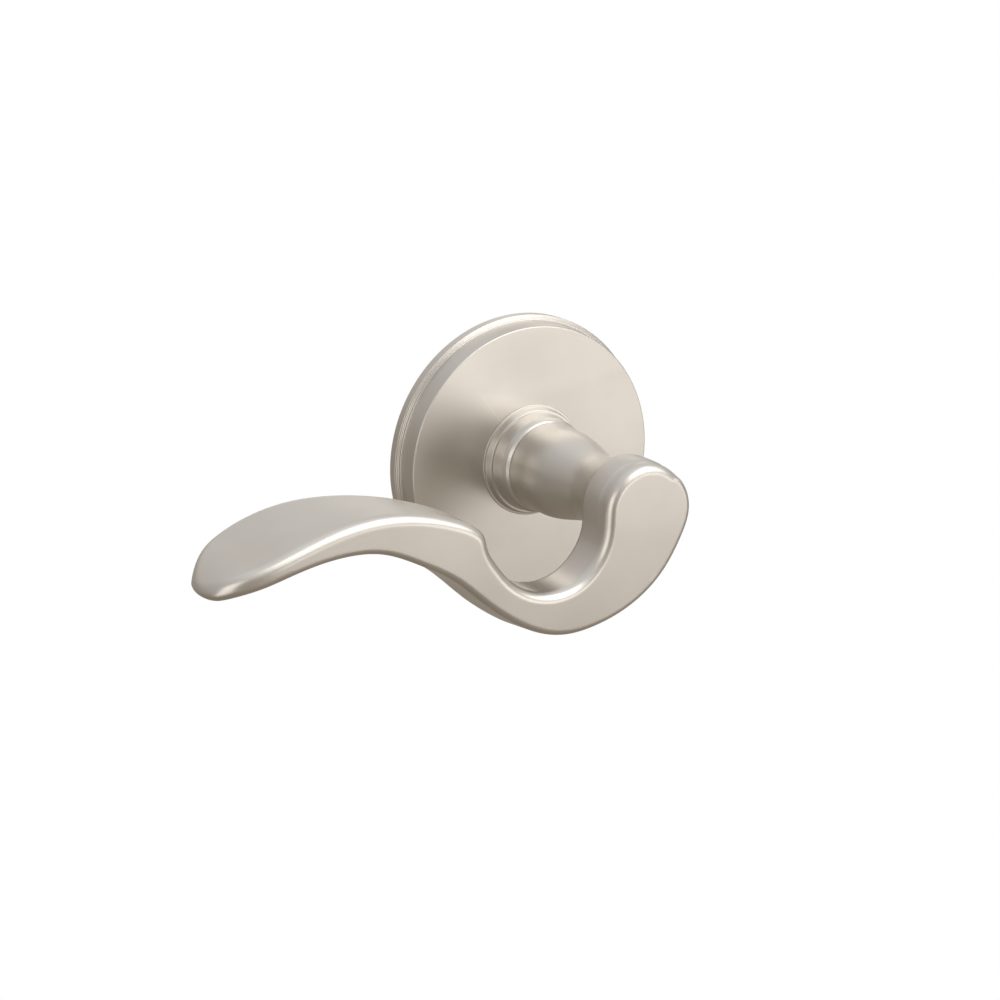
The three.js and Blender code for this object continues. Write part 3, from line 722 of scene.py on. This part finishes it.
def skinned(distance, low, high):
    """Vertices and quads of the surface where a distance is nought, inside a box in mm."""
    low = np.asarray(low, float) - 2 * CELL
    size = np.ceil((np.asarray(high, float) + 2 * CELL - low) / CELL).astype(int) + 1
    x, out, z = (low[axis] + CELL * np.arange(size[axis]) for axis in range(3))
    grid = np.stack(np.meshgrid(x, out, z, indexing="ij"), axis=-1)
    vertices, quads = surface_net(distance(grid), low)
    vertices = settle(vertices, quads, distance)
    return np.stack([vertices[:, 0], -vertices[:, 1], vertices[:, 2]], axis=1), quads[:, ::-1]


def lever_casting():
    """Head, bowl, blade and neck as one smooth surface, and the shank behind them."""
    shape, faces = skinned(
        lever_distance,
        (TIP, NECK_FOOT, LEVER["z"][0] - 2),
        (LEVER["x"][1], PROJECTION, HEAD_RADIUS + 1),
    )
    shank, shank_faces = skinned(
        shank_distance,
        (-JOURNAL_RADIUS, SHANK_END, -JOURNAL_RADIUS),
        (JOURNAL_RADIUS, NECK_FOOT + 1, JOURNAL_RADIUS),
    )
    vertices = np.concatenate([shape, shank])
    quads = np.concatenate([faces, shank_faces + len(shape)])
    piece = new_piece("lever_casting", vertices, quads.tolist(), NICKEL, "lever")
    return stands_for(piece, "satin_nickel", "lever_handle")


# ---------------------------------------------------------------- pieces behind the rose

def post(name, node):
    """Sleeve with a blind hole from the back and a thin head in front of the plate."""
    place = node_size(node)
    centre = (sum(place["x"]) / 2, sum(place["z"]) / 2)
    end, top = place["out"]
    head = (place["x"][1] - place["x"][0]) / 2
    sleeve = head - 0.3
    neck = 3.0                # the part inside the plate
    hole = 1.65
    middle = 0.01             # almost on the axis, so that no face closes to nothing
    under_head = top - 0.7
    outline = [
        (hole, end, 0.3), (sleeve, end, 0.5), (sleeve, -GAP, 0.3), (neck, -GAP, 0.1),
        (neck, under_head, 0.1), (head, under_head, 0.1), (head, top, 0.25),
        (middle, top, 0), (middle, 0, 0), (hole, -GAP, 0),
    ]
    piece = turned(name, rounded(outline), PLATED, "rose", segments=64, centre=centre)
    return stands_for(piece, "plated_steel", node)


def thrust_ring():
    """Flat washer between the plate and the wave washer."""
    back, front = THRUST["out"]
    outer = THRUST["x"][1]
    inner = TAIL_RADIUS + GAP
    outline = [(inner, back, 0.1), (outer, back, 0.15), (outer, front, 0.15), (inner, front, 0.1)]
    piece = turned("thrust_ring", rounded(outline), PLATED, "lever", segments=128)
    return stands_for(piece, "plated_steel", "thrust_washer")


rose_cover()
rose_collar()
neck_bead()
lever_casting()
post("post_sleeve_upper", "post_upper")
post("post_sleeve_lower", "post_lower")
thrust_ring()


# ---------------------------------------------------------------- materials on the CAD pieces

def dress(material, *names):
    for name in names:
        mesh = NODES[name].data
        mesh.materials.clear()
        mesh.materials.append(material)


dress(PLATED, "mounting_plate", "spindle", "drive_plate")
dress(ZINC, "spring_housing", "clip_rivet_1", "clip_rivet_2", "clip_rivet_3")
dress(SPRING, "cover_clip_1", "cover_clip_2", "cover_clip_3")
dress(SPRING, "return_spring", "wave_washer", "retaining_ring")
dress(BLACK, "collar_screw_1", "collar_screw_2", "collar_screw_3", "collar_screw_4", "set_screw")
dress(NYLON, "neck_bushing")


# ---------------------------------------------------------------- studio

# Radiance of the studio's surroundings by height, from straight down (-1) to straight up (1)
STUDIO_TONES = [
    (-1.0, (0.30, 0.26, 0.21)),
    (-0.6, (0.36, 0.32, 0.27)),
    (-0.3, (0.42, 0.38, 0.33)),
    (0.1, (0.48, 0.45, 0.41)),
    (0.25, (0.60, 0.58, 0.55)),
    (0.5, (0.70, 0.68, 0.66)),
    (1.0, (0.95, 0.96, 0.97)),
]

MIDDLE = (-0.03, -0.03, 0.0)  # in metres, where the lights point

# Name, place in metres, width and height, watts and tint
SOFT_LIGHTS = [
    ("key_light", (0.36, -0.60, 0.62), (0.9, 0.9), 4.2, (1.0, 1.0, 1.0)),
    ("left_light", (-0.80, -0.55, 0.05), (0.7, 0.9), 1.9, (1.0, 0.99, 0.97)),
    ("front_light", (0.50, -0.84, -0.10), (0.7, 0.34), 1.0, (1.0, 0.99, 0.98)),
    ("back_light", (0.45, 0.95, 0.35), (0.7, 0.3), 0.3, (1.0, 0.99, 0.97)),
]


def soft_light(name, place, size, power, tint):
    """A large dim panel that is seen only in reflections."""
    data = bpy.data.lights.new(name, "AREA")
    data.shape = "RECTANGLE"
    data.size, data.size_y = size
    data.energy = power
    data.color = tint
    light = bpy.data.objects.new(name, data)
    light.location = Vector(place)
    light.visible_camera = False
    light.rotation_euler = (Vector(MIDDLE) - Vector(place)).to_track_quat("-Z", "Y").to_euler()
    bpy.context.scene.collection.objects.link(light)


def surroundings():
    """A white background to the camera, and a soft studio to everything that reflects it: warm and
    dim below, paler towards the ceiling, and a little less light from the left."""
    world = bpy.data.worlds.new("studio")
    bpy.context.scene.world = world
    world.use_nodes = True
    nodes = world.node_tree.nodes
    links = world.node_tree.links
    nodes.clear()
    place = nodes.new("ShaderNodeTexCoord")
    split = nodes.new("ShaderNodeSeparateXYZ")
    links.new(place.outputs["Generated"], split.inputs["Vector"])

    def ranged(value, low, high, to_low=0.0, to_high=1.0, smooth=False):
        node = nodes.new("ShaderNodeMapRange")
        node.interpolation_type = "SMOOTHSTEP" if smooth else "LINEAR"
        node.inputs["From Min"].default_value = low
        node.inputs["From Max"].default_value = high
        node.inputs["To Min"].default_value = to_low
        node.inputs["To Max"].default_value = to_high
        links.new(value, node.inputs["Value"])
        return node.outputs["Result"]

    dimmest = 0.8             # strength on the left, against 1 on the right
    ramp = nodes.new("ShaderNodeValToRGB")
    for height, tone in STUDIO_TONES:
        place_in_ramp = (height + 1) / 2
        stops = ramp.color_ramp.elements
        known = [stop for stop in stops if abs(stop.position - place_in_ramp) < 1e-6]
        element = known[0] if known else stops.new(place_in_ramp)
        element.color = (*tone, 1)
    links.new(ranged(split.outputs["Z"], -1, 1), ramp.inputs["Fac"])
    room = nodes.new("ShaderNodeBackground")
    links.new(ramp.outputs["Color"], room.inputs["Color"])
    strength = ranged(split.outputs["X"], -0.7, 0.25, dimmest, 1.0, smooth=True)
    links.new(strength, room.inputs["Strength"])
    white = nodes.new("ShaderNodeBackground")
    white.inputs["Color"].default_value = (1, 1, 1, 1)
    rays = nodes.new("ShaderNodeLightPath")
    choose = nodes.new("ShaderNodeMixShader")  # its sockets are: factor, first shader, second shader
    links.new(rays.outputs["Is Camera Ray"], choose.inputs["Fac"])
    links.new(room.outputs["Background"], choose.inputs[1])
    links.new(white.outputs["Background"], choose.inputs[2])
    out = nodes.new("ShaderNodeOutputWorld")
    links.new(choose.outputs["Shader"], out.inputs["Surface"])


def floor():
    """A plain white floor well below the handle. It isn't lit, so it stays as pale as the background."""
    material = bpy.data.materials.new("studio_floor")
    material.use_nodes = True
    nodes = material.node_tree.nodes
    shader = nodes["Principled BSDF"]
    shader.inputs["Base Color"].default_value = (0, 0, 0, 1)
    shader.inputs["Specular IOR Level"].default_value = 0.0
    shader.inputs["Emission Color"].default_value = (1, 1, 1, 1)
    shader.inputs["Emission Strength"].default_value = 1.0
    mesh = bpy.data.meshes.new("studio_floor")
    half = 3.0
    drop = -0.5
    corners = [(-half, -half, drop), (half, -half, drop), (half, half, drop), (-half, half, drop)]
    mesh.from_pydata(corners, [], [(0, 1, 2, 3)])
    mesh.materials.append(material)
    plane = bpy.data.objects.new("studio_floor", mesh)
    bpy.context.scene.collection.objects.link(plane)
    plane.visible_diffuse = False
    plane.visible_glossy = False
    plane.visible_shadow = False


def camera():
    """A long lens, from the left of the handle and a little above it."""
    data = bpy.data.cameras.new("camera")
    data.sensor_width = 36.0
    data.lens = 85.3
    eye = bpy.data.objects.new("camera", data)
    target = Vector((-20.26, -27.8, -1.12)) * MM
    azimuth = math.radians(-30.47)
    elevation = math.radians(16.40)
    distance = 0.5
    back = Vector((
        math.sin(azimuth) * math.cos(elevation),
        -math.cos(azimuth) * math.cos(elevation),
        math.sin(elevation),
    ))
    eye.location = target + back * distance
    eye.rotation_euler = (-back).to_track_quat("-Z", "Y").to_euler()
    data.clip_start = 0.01
    bpy.context.scene.collection.objects.link(eye)
    bpy.context.scene.camera = eye


surroundings()
floor()
camera()
for panel in SOFT_LIGHTS:
    soft_light(*panel)

bpy.context.scene.view_settings.view_transform = "Standard"
